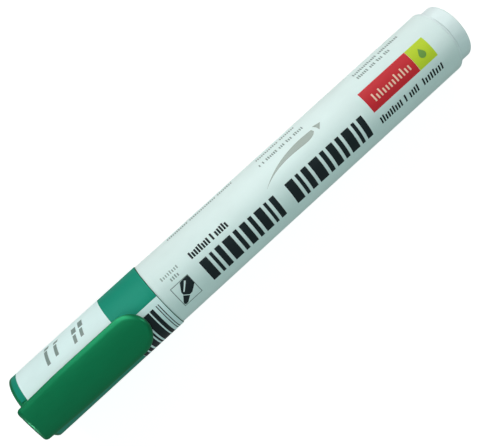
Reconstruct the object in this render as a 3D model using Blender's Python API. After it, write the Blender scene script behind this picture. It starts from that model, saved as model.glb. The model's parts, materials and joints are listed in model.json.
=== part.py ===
"""Refillable whiteboard marker with a bullet nib, a push-on cap with a pocket clip, and a tail plug.

Metres, +Z up. The marker lies along X: the cap's closed end points to -X, the tail plug to +X, and
the clip is on top. The origin is under the middle of the whole marker, at the height of its underside.
"""

import math

import bmesh
import bpy
from mathutils import Matrix, Vector

# Roundness of the turned surfaces
SIDES = 64
SMALL_SIDES = 40
ARC_STEPS = 4

# Clearances
FILM_GAP = 0.00005        # a printed film to the plastic that it is wrapped on
SEAM_GAP = 0.0003         # two pieces that meet face to face
CAP_SLIDE_GAP = 0.00035   # the neck in the cap
BEAD_GAP = 0.00012        # a snap bead, or a sealing lip, to what it passes
INSERT_GAP = 0.0002       # a pressed-in piece in its bore
NIB_GAP = 0.0002          # the nib in its holder and in the reservoir

# Barrel
BARREL_LENGTH = 0.0934
BARREL_RADIUS = 0.0088
BARREL_WALL = 0.00135
BARREL_REAR_ROUND = 0.0008
BARREL_FRONT_ROUND = 0.0003
SHOULDER_WALL = 0.0013
NECK_WALL = 0.00115
NECK_BEAD_SETBACK = 0.0032   # from the shoulder to the middle of the snap bead
BEAD_LENGTH = 0.0012
BARREL_RIBS = 6
RIB_HEIGHT = 0.0004
RIB_WIDTH = 0.0009

# Films
FILM_THICKNESS = 0.00015
BARREL_FILM_FRONT_MARGIN = 0.0008
BARREL_FILM_REAR_MARGIN = 0.0024
CAP_FILM_END_MARGIN = 0.0020
CAP_FILM_MOUTH_MARGIN = 0.0005

# Cap
CAP_LENGTH = 0.0393
CAP_PROUD = 0.0002           # how far the cap's side stands out from the barrel's
CAP_WALL = 0.0011
CAP_END_WALL = 0.0016
CAP_END_ROUND = 0.0010
CAP_MOUTH_ROUND = 0.0003
CAP_DEEP_STEP = 0.0003       # how much narrower the cap's bore is past the neck
SNAP_GROOVE_DEPTH = 0.00015

# Pocket clip
CLIP_WIDTH = 0.0105
CLIP_THICKNESS = 0.0014
CLIP_STAND_OFF = 0.0021      # from the cap's side to the clip's inner face
CLIP_OVERHANG = 0.0005       # how far the clip's root passes the cap's closed end
CLIP_TIP_SETBACK = 0.0052    # from the clip's tip to the cap's mouth
CLIP_FOOT_LENGTH = 0.0080
CLIP_ROOT_ROUND = 0.0014
CLIP_EDGE_ROUND = 0.0008

# Inner cap
INNER_CAP_WALL = 0.0008
INNER_CAP_FLOOR = 0.0010
INNER_CAP_OVERLAP = 0.0038   # how much of the snout it covers
INNER_CAP_LIP_LENGTH = 0.0008
INNER_CAP_RIBS = 6
INNER_CAP_RIB_LENGTH = 0.0060
INNER_CAP_RIB_WIDTH = 0.0008
TIP_ROOM = 0.0060            # from the nib's tip to the inner cap's floor

# Nib and its holder
NIB_RADIUS = 0.0023
NIB_EXPOSED = 0.0055
NIB_DOME_LENGTH = 0.0024
NIB_TAIL_TAPER = 0.0010
NIB_DEPTH = 0.0080           # how far the nib reaches into the reservoir
FLANGE_THICKNESS = 0.0014
CONE_LENGTH = 0.0045
SNOUT_RADIUS = 0.0046
SNOUT_LENGTH = 0.0050
NOSE_LENGTH = 0.0020
NOSE_WALL = 0.0011
HOLDER_TAPER = 0.0010
VENT_COUNT = 4
VENT_WIDTH = 0.0012
VENT_DEPTH = 0.0007

# Reservoir
BUFFER_LENGTH = 0.0043       # air space between the holder and the shoulder's inner face
RESERVOIR_END_GAP = 0.0005

# Tail plug
PLUG_HEAD_LENGTH = 0.0036
PLUG_HEAD_ROUND = 0.0007
PLUG_SEAT = 0.00035          # how far the head laps over the barrel's end face
PLUG_INSERT_LENGTH = 0.0090
PLUG_WALL = 0.0010
PLUG_HEAD_WALL = 0.0016
PLUG_DISH_RADIUS = 0.0052
PLUG_DISH_DEPTH = 0.0005
PLUG_BEAD_SETBACK = 0.0045   # from the barrel's end face to the middle of the plug's bead
PLUG_RIBS = 4
PLUG_RIB_WIDTH = 0.0009
PLUG_RIB_INNER = 0.0025      # the ribs stop this far from the axis

# Radii that follow from those
CAP_RADIUS = BARREL_RADIUS + CAP_PROUD
CAP_BORE = CAP_RADIUS - CAP_WALL
CAP_DEEP_BORE = CAP_BORE - CAP_DEEP_STEP
NECK_RADIUS = CAP_BORE - CAP_SLIDE_GAP
NECK_BEAD_RADIUS = CAP_BORE - BEAD_GAP
NECK_BORE = NECK_RADIUS - NECK_WALL
BARREL_BORE = BARREL_RADIUS - BARREL_WALL
HOLDER_RADIUS = NECK_BORE - INSERT_GAP
FLANGE_RADIUS = NECK_RADIUS - SEAM_GAP
CONE_RADIUS = (FLANGE_RADIUS + HOLDER_RADIUS) / 2
NIB_BORE = NIB_RADIUS + NIB_GAP
NOSE_RADIUS = NIB_BORE + NOSE_WALL
SLEEVE_RADIUS = BARREL_BORE - RIB_HEIGHT - INSERT_GAP
RESERVOIR_RADIUS = SLEEVE_RADIUS - FILM_THICKNESS - FILM_GAP
INNER_CAP_LIP_RADIUS = SNOUT_RADIUS + BEAD_GAP
INNER_CAP_BORE = SNOUT_RADIUS + INSERT_GAP
INNER_CAP_RADIUS = INNER_CAP_BORE + INNER_CAP_WALL
INNER_CAP_BASE_RADIUS = CAP_DEEP_BORE - INSERT_GAP
PLUG_RADIUS = BARREL_BORE - INSERT_GAP
PLUG_BEAD_RADIUS = BARREL_BORE - BEAD_GAP
PLUG_HEAD_RADIUS = BARREL_BORE + PLUG_SEAT
PLUG_BORE = PLUG_RADIUS - PLUG_WALL
RECESS_DEPTH = FILM_THICKNESS + FILM_GAP
AXIS_HEIGHT = CAP_RADIUS * math.cos(math.pi / SIDES)

# Stations along X that follow from those
OVERALL_LENGTH = (
    CLIP_OVERHANG + CAP_LENGTH + SEAM_GAP + BARREL_LENGTH + SEAM_GAP + PLUG_HEAD_LENGTH
)
CLIP_ROOT_X = -OVERALL_LENGTH / 2
CAP_END_X = CLIP_ROOT_X + CLIP_OVERHANG
MOUTH_X = CAP_END_X + CAP_LENGTH
SHOULDER_X = MOUTH_X + SEAM_GAP
REAR_X = SHOULDER_X + BARREL_LENGTH
HEAD_X = REAR_X + SEAM_GAP
TAIL_X = HEAD_X + PLUG_HEAD_LENGTH
CAP_FLOOR_X = CAP_END_X + CAP_END_WALL
INNER_CAP_BACK_X = CAP_FLOOR_X + SEAM_GAP
INNER_CAP_FLOOR_X = INNER_CAP_BACK_X + INNER_CAP_FLOOR
NIB_TIP_X = INNER_CAP_FLOOR_X + TIP_ROOM
NOSE_X = NIB_TIP_X + NIB_EXPOSED
SNOUT_X = NOSE_X + NOSE_LENGTH
CONE_X = SNOUT_X + SNOUT_LENGTH
FLANGE_X = CONE_X + CONE_LENGTH
FLANGE_BACK_X = FLANGE_X + FLANGE_THICKNESS
NECK_X = FLANGE_BACK_X + SEAM_GAP
STEP_X = SHOULDER_X + SHOULDER_WALL
HOLDER_BACK_X = STEP_X - BUFFER_LENGTH
RESERVOIR_X = STEP_X + RESERVOIR_END_GAP
PLUG_FRONT_X = REAR_X - PLUG_INSERT_LENGTH
RESERVOIR_BACK_X = PLUG_FRONT_X - RESERVOIR_END_GAP
NIB_BACK_X = RESERVOIR_X + NIB_DEPTH
CLIP_TIP_X = MOUTH_X - CLIP_TIP_SETBACK
FOOT_FRONT_X = CLIP_ROOT_X + CLIP_FOOT_LENGTH
CLIP_INNER_HEIGHT = CAP_RADIUS + CLIP_STAND_OFF      # above the marker's axis
CLIP_TOP_HEIGHT = CLIP_INNER_HEIGHT + CLIP_THICKNESS


def clear_scene():
    for obj in list(bpy.data.objects):
        bpy.data.objects.remove(obj)


def plastic(name, color, roughness):
    """A Principled material: color is linear red, green and blue."""
    material = bpy.data.materials.new(name)
    material.use_nodes = True
    shader = material.node_tree.nodes["Principled BSDF"]
    shader.inputs["Base Color"].default_value = (*color, 1.0)
    shader.inputs["Roughness"].default_value = roughness
    shader.inputs["Metallic"].default_value = 0.0
    material.diffuse_color = (*color, 1.0)
    return material


def finish(name, mesh, pivot, material):
    """Close the bmesh into an object whose origin is at pivot, shaded smooth but for its hard edges."""
    bmesh.ops.recalc_face_normals(mesh, faces=mesh.faces)
    bmesh.ops.translate(mesh, verts=mesh.verts, vec=-Vector(pivot))
    data = bpy.data.meshes.new(name)
    mesh.to_mesh(data)
    mesh.free()
    data.shade_smooth()
    data.set_sharp_from_angle(angle=math.radians(32))
    if material:
        data.materials.append(material)
    obj = bpy.data.objects.new(name, data)
    obj.location = pivot
    bpy.context.scene.collection.objects.link(obj)
    return obj


def helper(obj):
    """Keep a cutter, or a shape that a Boolean joins on, out of the model itself."""
    obj.hide_render = True
    obj.display_type = "WIRE"
    return obj


def combine(obj, other, operation):
    modifier = obj.modifiers.new(other.name, "BOOLEAN")
    modifier.operation = operation
    modifier.solver = "EXACT"
    modifier.object = other


def arc(x, radius, size, start, end, steps=ARC_STEPS):
    """Points on a round of the given size about (x, radius), from one angle to another in degrees."""
    angles = [math.radians(start + (end - start) * step / steps) for step in range(steps + 1)]
    return [(x + size * math.cos(a), radius + size * math.sin(a)) for a in angles]


def bead(x, base, top, length=BEAD_LENGTH):
    """A low trapezoid ridge, or a groove where top is below base, in a profile that runs along +X."""
    return [
        (x - length / 2, base),
        (x - length / 4, top),
        (x + length / 4, top),
        (x + length / 2, base),
    ]


def turned(name, profile, material=None, sides=SIDES):
    """Turn a closed (x, radius) profile about the marker's axis. Points at radius 0 lie on the axis."""
    mesh = bmesh.new()
    rings = []
    for x, radius in profile:
        if radius == 0:
            rings.append([mesh.verts.new((x, 0, AXIS_HEIGHT))])
            continue
        angles = [2 * math.pi * (side + 0.5) / sides for side in range(sides)]
        rings.append(
            [mesh.verts.new((x, radius * math.sin(a), AXIS_HEIGHT + radius * math.cos(a))) for a in angles]
        )
    for first, second in zip(rings, rings[1:] + rings[:1]):
        if len(first) == 1 and len(second) == 1:
            continue
        for side in range(sides):
            after = (side + 1) % sides
            corners = [
                first[side % len(first)],
                first[after % len(first)],
                second[after % len(second)],
                second[side % len(second)],
            ]
            mesh.faces.new(dict.fromkeys(corners))
    return finish(name, mesh, (0, 0, AXIS_HEIGHT), material)


def box(name, low, high):
    mesh = bmesh.new()
    size = Vector(high) - Vector(low)
    middle = (Vector(high) + Vector(low)) / 2
    bmesh.ops.create_cube(mesh, size=1, matrix=Matrix.Translation(middle) @ Matrix.Diagonal(size).to_4x4())
    return helper(finish(name, mesh, (0, 0, 0), None))


def radial_blocks(name, count, x_from, x_to, inner, outer, width):
    """Blocks evenly round the axis, each from one radius to another: ribs to join on or slots to cut."""
    mesh = bmesh.new()
    size = Matrix.Diagonal((x_to - x_from, width, outer - inner, 1))
    place = Matrix.Translation(((x_from + x_to) / 2, 0, (inner + outer) / 2))
    for index in range(count):
        turn = Matrix.Rotation(2 * math.pi * index / count, 4, "X")
        lift = Matrix.Translation((0, 0, AXIS_HEIGHT))
        bmesh.ops.create_cube(mesh, size=1, matrix=lift @ turn @ place @ size)
    return helper(finish(name, mesh, (0, 0, 0), None))


def clip_slab(name, bottom, pivot, material):
    """The whole clip seen from above, from bottom to the clip's top, both measured from the axis."""
    half = CLIP_WIDTH / 2
    corner_x = CLIP_ROOT_X + CLIP_ROOT_ROUND
    corner_y = half - CLIP_ROOT_ROUND
    outline = arc(CLIP_TIP_X - half, 0, half, -90, 90, steps=16)
    outline += arc(corner_x, corner_y, CLIP_ROOT_ROUND, 90, 180)
    outline += arc(corner_x, -corner_y, CLIP_ROOT_ROUND, 180, 270)
    mesh = bmesh.new()
    base = mesh.faces.new([mesh.verts.new((x, y, AXIS_HEIGHT + bottom)) for x, y in outline])
    raised = bmesh.ops.extrude_face_region(mesh, geom=[base])["geom"]
    top = [item for item in raised if isinstance(item, bmesh.types.BMVert)]
    bmesh.ops.translate(mesh, verts=top, vec=(0, 0, CLIP_TOP_HEIGHT - bottom))
    rim = [edge for edge in mesh.edges if all(vert in top for vert in edge.verts)]
    bmesh.ops.bevel(
        mesh, geom=rim, offset=CLIP_EDGE_ROUND, segments=3, profile=0.5, affect="EDGES", clamp_overlap=True
    )
    return finish(name, mesh, pivot, material)


def cap_shell(material):
    groove = MOUTH_X - (NECK_BEAD_SETBACK - SEAM_GAP)
    film_from = CAP_END_X + CAP_FILM_END_MARGIN
    film_to = MOUTH_X - CAP_FILM_MOUTH_MARGIN
    recess = CAP_RADIUS - RECESS_DEPTH
    profile = [(CAP_END_X, 0)]
    profile += arc(CAP_END_X + CAP_END_ROUND, CAP_RADIUS - CAP_END_ROUND, CAP_END_ROUND, 180, 90)
    profile += [(film_from, CAP_RADIUS), (film_from, recess), (film_to, recess), (film_to, CAP_RADIUS)]
    profile += arc(MOUTH_X - CAP_MOUTH_ROUND, CAP_RADIUS - CAP_MOUTH_ROUND, CAP_MOUTH_ROUND, 90, 0, steps=2)
    profile += [(MOUTH_X, CAP_BORE + CAP_MOUTH_ROUND), (MOUTH_X - CAP_MOUTH_ROUND, CAP_BORE)]
    profile += bead(groove, CAP_BORE, CAP_BORE + SNAP_GROOVE_DEPTH)[::-1]
    profile += [(NECK_X - CAP_MOUTH_ROUND, CAP_BORE), (NECK_X - 2 * CAP_MOUTH_ROUND, CAP_DEEP_BORE)]
    profile += [(CAP_FLOOR_X, CAP_DEEP_BORE), (CAP_FLOOR_X, 0)]
    shell = turned("cap_shell", profile, material)
    wall_middle = (CAP_DEEP_BORE + CAP_RADIUS - RECESS_DEPTH) / 2
    foot = helper(clip_slab("clip_foot", 0, (0, 0, 0), None))
    past_foot = (FOOT_FRONT_X, -CLIP_WIDTH, 0)
    front = box("foot_trim", past_foot, (TAIL_X, CLIP_WIDTH, AXIS_HEIGHT + 2 * CLIP_TOP_HEIGHT))
    combine(foot, front, "DIFFERENCE")
    core_ends = (CLIP_ROOT_X - CLIP_FOOT_LENGTH, FOOT_FRONT_X + CLIP_FOOT_LENGTH)
    core = [(core_ends[0], 0), (core_ends[0], wall_middle), (core_ends[1], wall_middle), (core_ends[1], 0)]
    combine(foot, helper(turned("foot_core", core)), "DIFFERENCE")
    combine(shell, foot, "UNION")
    return shell


def pocket_clip(material):
    """The free leaf of the clip. It flexes about the inner edge where it leaves the foot."""
    leaf_x = FOOT_FRONT_X + SEAM_GAP
    pivot = (leaf_x, 0, AXIS_HEIGHT + CLIP_INNER_HEIGHT)
    leaf = clip_slab("pocket_clip", CLIP_INNER_HEIGHT, pivot, material)
    before_leaf = (CLIP_ROOT_X - CLIP_WIDTH, -CLIP_WIDTH, 0)
    root = box("leaf_trim", before_leaf, (leaf_x, CLIP_WIDTH, AXIS_HEIGHT + 2 * CLIP_TOP_HEIGHT))
    combine(leaf, root, "DIFFERENCE")
    return leaf


def film(name, x_from, x_to, outer, material):
    """A printed film: a thin tube that lies in the recess left for it."""
    inner = outer - FILM_THICKNESS
    profile = [(x_from, outer), (x_to, outer), (x_to, inner), (x_from, inner)]
    return turned(name, profile, material)


def cap_label(material):
    x_from = CAP_END_X + CAP_FILM_END_MARGIN + FILM_GAP
    x_to = MOUTH_X - CAP_FILM_MOUTH_MARGIN - FILM_GAP
    label = film("cap_label", x_from, x_to, CAP_RADIUS, material)
    half_slot = CLIP_WIDTH / 2 + SEAM_GAP
    slot = box(
        "label_slot",
        (CLIP_ROOT_X, -half_slot, AXIS_HEIGHT),
        (FOOT_FRONT_X + SEAM_GAP, half_slot, AXIS_HEIGHT + 2 * CAP_RADIUS),
    )
    combine(label, slot, "DIFFERENCE")
    return label


def inner_cap(material):
    """The sealing cup: its lip runs on the holder's snout, and ribs brace it in the cap's bore."""
    mouth = CONE_X - (SNOUT_LENGTH - INNER_CAP_OVERLAP)
    lip = mouth - INNER_CAP_LIP_LENGTH
    base = INNER_CAP_FLOOR_X
    profile = [(INNER_CAP_BACK_X, 0), (INNER_CAP_BACK_X, INNER_CAP_BASE_RADIUS)]
    profile += [(base, INNER_CAP_BASE_RADIUS), (base, INNER_CAP_RADIUS), (mouth, INNER_CAP_RADIUS)]
    profile += [(mouth, INNER_CAP_BORE), (lip + INNER_CAP_LIP_LENGTH / 2, INNER_CAP_LIP_RADIUS)]
    profile += [(lip, INNER_CAP_BORE), (base, INNER_CAP_BORE), (base, 0)]
    cup = turned("inner_cap", profile, material, SMALL_SIDES)
    ribs = radial_blocks(
        "inner_cap_ribs",
        INNER_CAP_RIBS,
        (INNER_CAP_BACK_X + base) / 2,
        base + INNER_CAP_RIB_LENGTH,
        INNER_CAP_RADIUS - INNER_CAP_WALL / 2,
        INNER_CAP_BASE_RADIUS - SEAM_GAP,
        INNER_CAP_RIB_WIDTH,
    )
    combine(cup, ribs, "UNION")
    return cup


def barrel(material):
    film_from = SHOULDER_X + BARREL_FILM_FRONT_MARGIN
    film_to = REAR_X - BARREL_FILM_REAR_MARGIN
    recess = BARREL_RADIUS - RECESS_DEPTH
    front_round = BARREL_FRONT_ROUND
    profile = [(NECK_X, NECK_BORE), (NECK_X, NECK_RADIUS - front_round), (NECK_X + front_round, NECK_RADIUS)]
    profile += bead(SHOULDER_X - NECK_BEAD_SETBACK, NECK_RADIUS, NECK_BEAD_RADIUS)
    profile += [(SHOULDER_X, NECK_RADIUS)]
    profile += arc(SHOULDER_X + front_round, BARREL_RADIUS - front_round, front_round, 180, 90, steps=2)
    profile += [(film_from, BARREL_RADIUS), (film_from, recess), (film_to, recess), (film_to, BARREL_RADIUS)]
    profile += arc(REAR_X - BARREL_REAR_ROUND, BARREL_RADIUS - BARREL_REAR_ROUND, BARREL_REAR_ROUND, 90, 0)
    profile += [(REAR_X, BARREL_BORE), (STEP_X, BARREL_BORE), (STEP_X, NECK_BORE)]
    tube = turned("barrel", profile, material)
    ribs = radial_blocks(
        "barrel_ribs",
        BARREL_RIBS,
        STEP_X - SHOULDER_WALL / 2,
        RESERVOIR_BACK_X,
        BARREL_BORE - RIB_HEIGHT,
        BARREL_BORE + BARREL_WALL / 2,
        RIB_WIDTH,
    )
    combine(tube, ribs, "UNION")
    return tube


def barrel_label(material):
    x_from = SHOULDER_X + BARREL_FILM_FRONT_MARGIN + FILM_GAP
    x_to = REAR_X - BARREL_FILM_REAR_MARGIN - FILM_GAP
    return film("barrel_label", x_from, x_to, BARREL_RADIUS, material)


def nib_holder(material):
    """The front section: a vented plug in the neck, a flange against it, and a snout round the nib."""
    profile = [(NOSE_X, NIB_BORE), (NOSE_X, NOSE_RADIUS), (SNOUT_X, SNOUT_RADIUS), (CONE_X, SNOUT_RADIUS)]
    profile += [(FLANGE_X, CONE_RADIUS), (FLANGE_X, FLANGE_RADIUS), (FLANGE_BACK_X, FLANGE_RADIUS)]
    profile += [(FLANGE_BACK_X, HOLDER_RADIUS), (HOLDER_BACK_X - HOLDER_TAPER, HOLDER_RADIUS)]
    profile += [(HOLDER_BACK_X, HOLDER_RADIUS - HOLDER_TAPER), (HOLDER_BACK_X, NIB_BORE)]
    holder = turned("nib_holder", profile, material, SMALL_SIDES)
    vents = radial_blocks(
        "holder_vents",
        VENT_COUNT,
        FLANGE_X - SEAM_GAP,
        HOLDER_BACK_X + SEAM_GAP,
        HOLDER_RADIUS - VENT_DEPTH,
        CAP_RADIUS,
        VENT_WIDTH,
    )
    combine(holder, vents, "DIFFERENCE")
    return holder


def bullet_nib(material):
    dome = [
        (
            NIB_TIP_X + NIB_DOME_LENGTH * (1 - math.cos(math.radians(angle))),
            NIB_RADIUS * math.sin(math.radians(angle)),
        )
        for angle in (0, 12, 26, 42, 60, 78, 90)
    ]
    profile = dome + [(NIB_BACK_X - NIB_TAIL_TAPER, NIB_RADIUS)]
    profile += [(NIB_BACK_X, NIB_RADIUS - NIB_TAIL_TAPER / 2), (NIB_BACK_X, 0)]
    return turned("bullet_nib", profile, material, SMALL_SIDES)


def ink_reservoir(material):
    """The fibre rod, with the socket that the nib's tail has opened in its front end."""
    socket_end = NIB_BACK_X + NIB_GAP
    profile = [(socket_end, 0), (socket_end, NIB_BORE), (RESERVOIR_X, NIB_BORE)]
    profile += [(RESERVOIR_X, RESERVOIR_RADIUS), (RESERVOIR_BACK_X, RESERVOIR_RADIUS), (RESERVOIR_BACK_X, 0)]
    return turned("ink_reservoir", profile, material, SMALL_SIDES)


def reservoir_sleeve(material):
    inner = SLEEVE_RADIUS - FILM_THICKNESS
    profile = [(RESERVOIR_X, SLEEVE_RADIUS), (RESERVOIR_BACK_X, SLEEVE_RADIUS)]
    profile += [(RESERVOIR_BACK_X, inner), (RESERVOIR_X, inner)]
    return turned("reservoir_sleeve", profile, material, SMALL_SIDES)


def tail_plug(material):
    """A cup pushed into the barrel's rear end, with stiffening ribs inside and a dished head."""
    floor_x = TAIL_X - PLUG_HEAD_WALL
    profile = [(floor_x, 0), (floor_x, PLUG_BORE), (PLUG_FRONT_X, PLUG_BORE)]
    profile += [(PLUG_FRONT_X, PLUG_RADIUS - PLUG_WALL / 2), (PLUG_FRONT_X + PLUG_WALL / 2, PLUG_RADIUS)]
    profile += bead(REAR_X - PLUG_BEAD_SETBACK, PLUG_RADIUS, PLUG_BEAD_RADIUS)
    profile += [(HEAD_X, PLUG_RADIUS), (HEAD_X, PLUG_HEAD_RADIUS)]
    profile += arc(TAIL_X - PLUG_HEAD_ROUND, PLUG_HEAD_RADIUS - PLUG_HEAD_ROUND, PLUG_HEAD_ROUND, 90, 0)
    profile += [(TAIL_X, PLUG_DISH_RADIUS), (TAIL_X - PLUG_DISH_DEPTH, PLUG_DISH_RADIUS - PLUG_DISH_DEPTH)]
    profile += [(TAIL_X - PLUG_DISH_DEPTH, 0)]
    plug = turned("tail_plug", profile, material)
    ribs = radial_blocks(
        "plug_ribs",
        PLUG_RIBS,
        PLUG_FRONT_X + PLUG_WALL,
        floor_x + (PLUG_HEAD_WALL - PLUG_DISH_DEPTH) / 2,
        PLUG_RIB_INNER,
        PLUG_BORE + PLUG_WALL / 2,
        PLUG_RIB_WIDTH,
    )
    combine(plug, ribs, "UNION")
    return plug


def main():
    clear_scene()
    green = plastic("green_plastic", (0.006, 0.165, 0.070), 0.32)
    white = plastic("white_plastic", (0.80, 0.86, 0.85), 0.38)
    natural = plastic("natural_plastic", (0.72, 0.74, 0.70), 0.45)
    cap_film = plastic("cap_film", (0.015, 0.27, 0.17), 0.30)
    barrel_film = plastic("barrel_film", (0.78, 0.85, 0.84), 0.30)
    ink_fibre = plastic("ink_fibre", (0.010, 0.16, 0.08), 0.90)
    clear_film = plastic("clear_film", (0.55, 0.66, 0.62), 0.25)
    cap_shell(green)
    pocket_clip(green)
    cap_label(cap_film)
    inner_cap(natural)
    barrel(white)
    barrel_label(barrel_film)
    nib_holder(white)
    bullet_nib(ink_fibre)
    ink_reservoir(ink_fibre)
    reservoir_sleeve(clear_film)
    tail_plug(white)


main()
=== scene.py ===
"""The finished look of the whiteboard marker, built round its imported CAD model.

Metres, +Z up. The marker lies along X, its cap towards -X and the clip on top. Angles round the
marker are measured from straight up (+Z) towards +Y.
"""

import math
import json

import bmesh
import bpy
from mathutils import Matrix, Vector

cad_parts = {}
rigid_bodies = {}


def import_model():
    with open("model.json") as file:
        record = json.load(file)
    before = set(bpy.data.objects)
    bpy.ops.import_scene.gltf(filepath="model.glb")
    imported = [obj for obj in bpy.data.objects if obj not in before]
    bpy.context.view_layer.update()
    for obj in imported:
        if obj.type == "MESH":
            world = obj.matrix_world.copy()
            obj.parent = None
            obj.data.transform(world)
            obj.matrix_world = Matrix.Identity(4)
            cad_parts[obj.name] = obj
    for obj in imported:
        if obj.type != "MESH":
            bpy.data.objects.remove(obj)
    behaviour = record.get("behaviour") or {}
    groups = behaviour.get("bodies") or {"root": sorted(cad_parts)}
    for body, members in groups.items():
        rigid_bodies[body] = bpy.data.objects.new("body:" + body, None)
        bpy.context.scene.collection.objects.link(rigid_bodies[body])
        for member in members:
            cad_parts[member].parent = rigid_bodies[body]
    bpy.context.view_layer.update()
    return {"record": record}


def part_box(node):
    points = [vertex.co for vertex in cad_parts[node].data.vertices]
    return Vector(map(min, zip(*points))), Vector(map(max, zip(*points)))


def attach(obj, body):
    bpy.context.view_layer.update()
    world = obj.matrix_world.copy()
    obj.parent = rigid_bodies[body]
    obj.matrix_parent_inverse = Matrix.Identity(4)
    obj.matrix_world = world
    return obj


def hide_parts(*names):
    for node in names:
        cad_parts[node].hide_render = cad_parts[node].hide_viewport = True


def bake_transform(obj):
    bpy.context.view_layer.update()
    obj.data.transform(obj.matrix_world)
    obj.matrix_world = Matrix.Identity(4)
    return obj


for thing in list(bpy.data.objects):
    bpy.data.objects.remove(thing)
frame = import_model()

# ---------------------------------------------------------------- sizes

MM = 0.001
ROUND = 160                      # sides of the large turned pieces
FINE = 96                        # sides of the small ones
INSIDE = 0.02 * MM               # how far an outer surface stays within its CAD solid
SHARP_ANGLE = math.radians(35)   # edges that turn further than this stay crisp

cap_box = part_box("cap_shell")
cap_film_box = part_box("cap_label")
inner_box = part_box("inner_cap")
barrel_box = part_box("barrel")
barrel_film_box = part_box("barrel_label")
holder_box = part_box("nib_holder")
nib_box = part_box("bullet_nib")
rod_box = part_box("ink_reservoir")
wrap_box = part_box("reservoir_sleeve")
plug_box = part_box("tail_plug")
clip_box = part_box("pocket_clip")
mounts = {mount["name"]: Vector(mount["pos_m"]) for mount in frame["record"]["mounts"]}


def radius_of(box):
    return (box[1].y - box[0].y) / 2


AXIS_Z = (barrel_box[0].z + barrel_box[1].z) / 2
CAP_R = radius_of(cap_film_box) - INSIDE
BARREL_R = radius_of(barrel_film_box) - INSIDE
CAP_END = mounts["cap_end_face"].x
TAIL_END = mounts["tail_face"].x
CLIP_ROOT = cap_box[0].x
CLIP_TIP = clip_box[1].x
CLIP_TOP = clip_box[1].z - AXIS_Z
CLIP_HALF = (clip_box[1].y - clip_box[0].y) / 2
FOOT_FRONT = clip_box[0].x
MOUTH = cap_box[1].x
SHOULDER = MOUTH + 0.3 * MM
REAR = barrel_box[1].x
NECK_END = barrel_box[0].x
NIB_TIP = nib_box[0].x
HOLDER_TIP = holder_box[0].x
PLUG_FRONT = plug_box[0].x

CAP_BORE = 7.9 * MM
CAP_DEEP_BORE = 7.6 * MM
NECK_R = 7.55 * MM
NECK_BORE = 6.4 * MM
BARREL_BORE = 7.45 * MM
CLIP_INNER = mounts["clip_inner_face"].z - AXIS_Z


# ---------------------------------------------------------------- mesh tools


def link(name, mesh, material=None):
    """Turn a bmesh into a smooth-shaded object of this name."""
    bmesh.ops.recalc_face_normals(mesh, faces=mesh.faces)
    data = bpy.data.meshes.new(name)
    mesh.to_mesh(data)
    mesh.free()
    data.shade_smooth()
    data.set_sharp_from_angle(angle=SHARP_ANGLE)
    if material:
        data.materials.append(material)
    obj = bpy.data.objects.new(name, data)
    bpy.context.scene.collection.objects.link(obj)
    return obj


def arc(x, radius, size, start, end, steps=8):
    """Points on a round of this size about (x, radius), between two angles in degrees."""
    angles = [math.radians(start + (end - start) * step / steps) for step in range(steps + 1)]
    return [(x + size * math.cos(a), radius + size * math.sin(a)) for a in angles]


def ridge(x, base, top, length):
    """A low rounded swell centred at x, on a profile that runs along +X: from base to top and back."""
    steps = 8
    points = []
    for step in range(steps + 1):
        rise = math.sin(math.pi * step / steps) ** 2
        points.append((x - length / 2 + length * step / steps, base + (top - base) * rise))
    return points


def turned_mesh(profile, sides=ROUND):
    """A closed bmesh made by turning an (x, radius) outline about the marker's axis."""
    mesh = bmesh.new()
    rings = []
    for x, radius in profile:
        if radius == 0:
            rings.append([mesh.verts.new((x, 0, AXIS_Z))])
            continue
        angles = [2 * math.pi * side / sides for side in range(sides)]
        around = [(radius * math.sin(a), radius * math.cos(a)) for a in angles]
        rings.append([mesh.verts.new((x, y, AXIS_Z + z)) for y, z in around])
    for first, second in zip(rings, rings[1:] + rings[:1]):
        if len(first) == 1 and len(second) == 1:
            continue
        for side in range(sides):
            after = (side + 1) % sides
            corners = [first[side % len(first)], first[after % len(first)]]
            corners += [second[after % len(second)], second[side % len(second)]]
            mesh.faces.new(dict.fromkeys(corners))
    return mesh


def turned(name, profile, material=None, sides=ROUND):
    return link(name, turned_mesh(profile, sides), material)


def cut(obj, other, operation):
    """Join other onto obj, or cut it away, for good."""
    modifier = obj.modifiers.new("boolean", "BOOLEAN")
    modifier.operation = operation
    modifier.solver = "EXACT"
    modifier.object = other
    bake(obj)
    bpy.data.objects.remove(other)


def bake(obj):
    """Put the result of an object's modifiers into its own mesh."""
    graph = bpy.context.evaluated_depsgraph_get()
    data = bpy.data.meshes.new_from_object(obj.evaluated_get(graph))
    obj.modifiers.clear()
    obj.data = data


def coat(obj, material):
    """Give the whole of an object one material."""
    obj.data.materials.clear()
    obj.data.materials.append(material)


def spokes(name, count, x_from, x_to, inner, outer, width):
    """Blocks evenly round the axis, for ribs and slots."""
    mesh = bmesh.new()
    axis = Matrix.Translation((0, 0, AXIS_Z))
    size = Matrix.Diagonal((x_to - x_from, width, outer - inner, 1))
    place = Matrix.Translation(((x_from + x_to) / 2, 0, (inner + outer) / 2))
    for index in range(count):
        turn = Matrix.Rotation(2 * math.pi * index / count, 4, "X")
        bmesh.ops.create_cube(mesh, size=1, matrix=axis @ turn @ place @ size)
    return link(name, mesh)


# ---------------------------------------------------------------- materials


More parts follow.
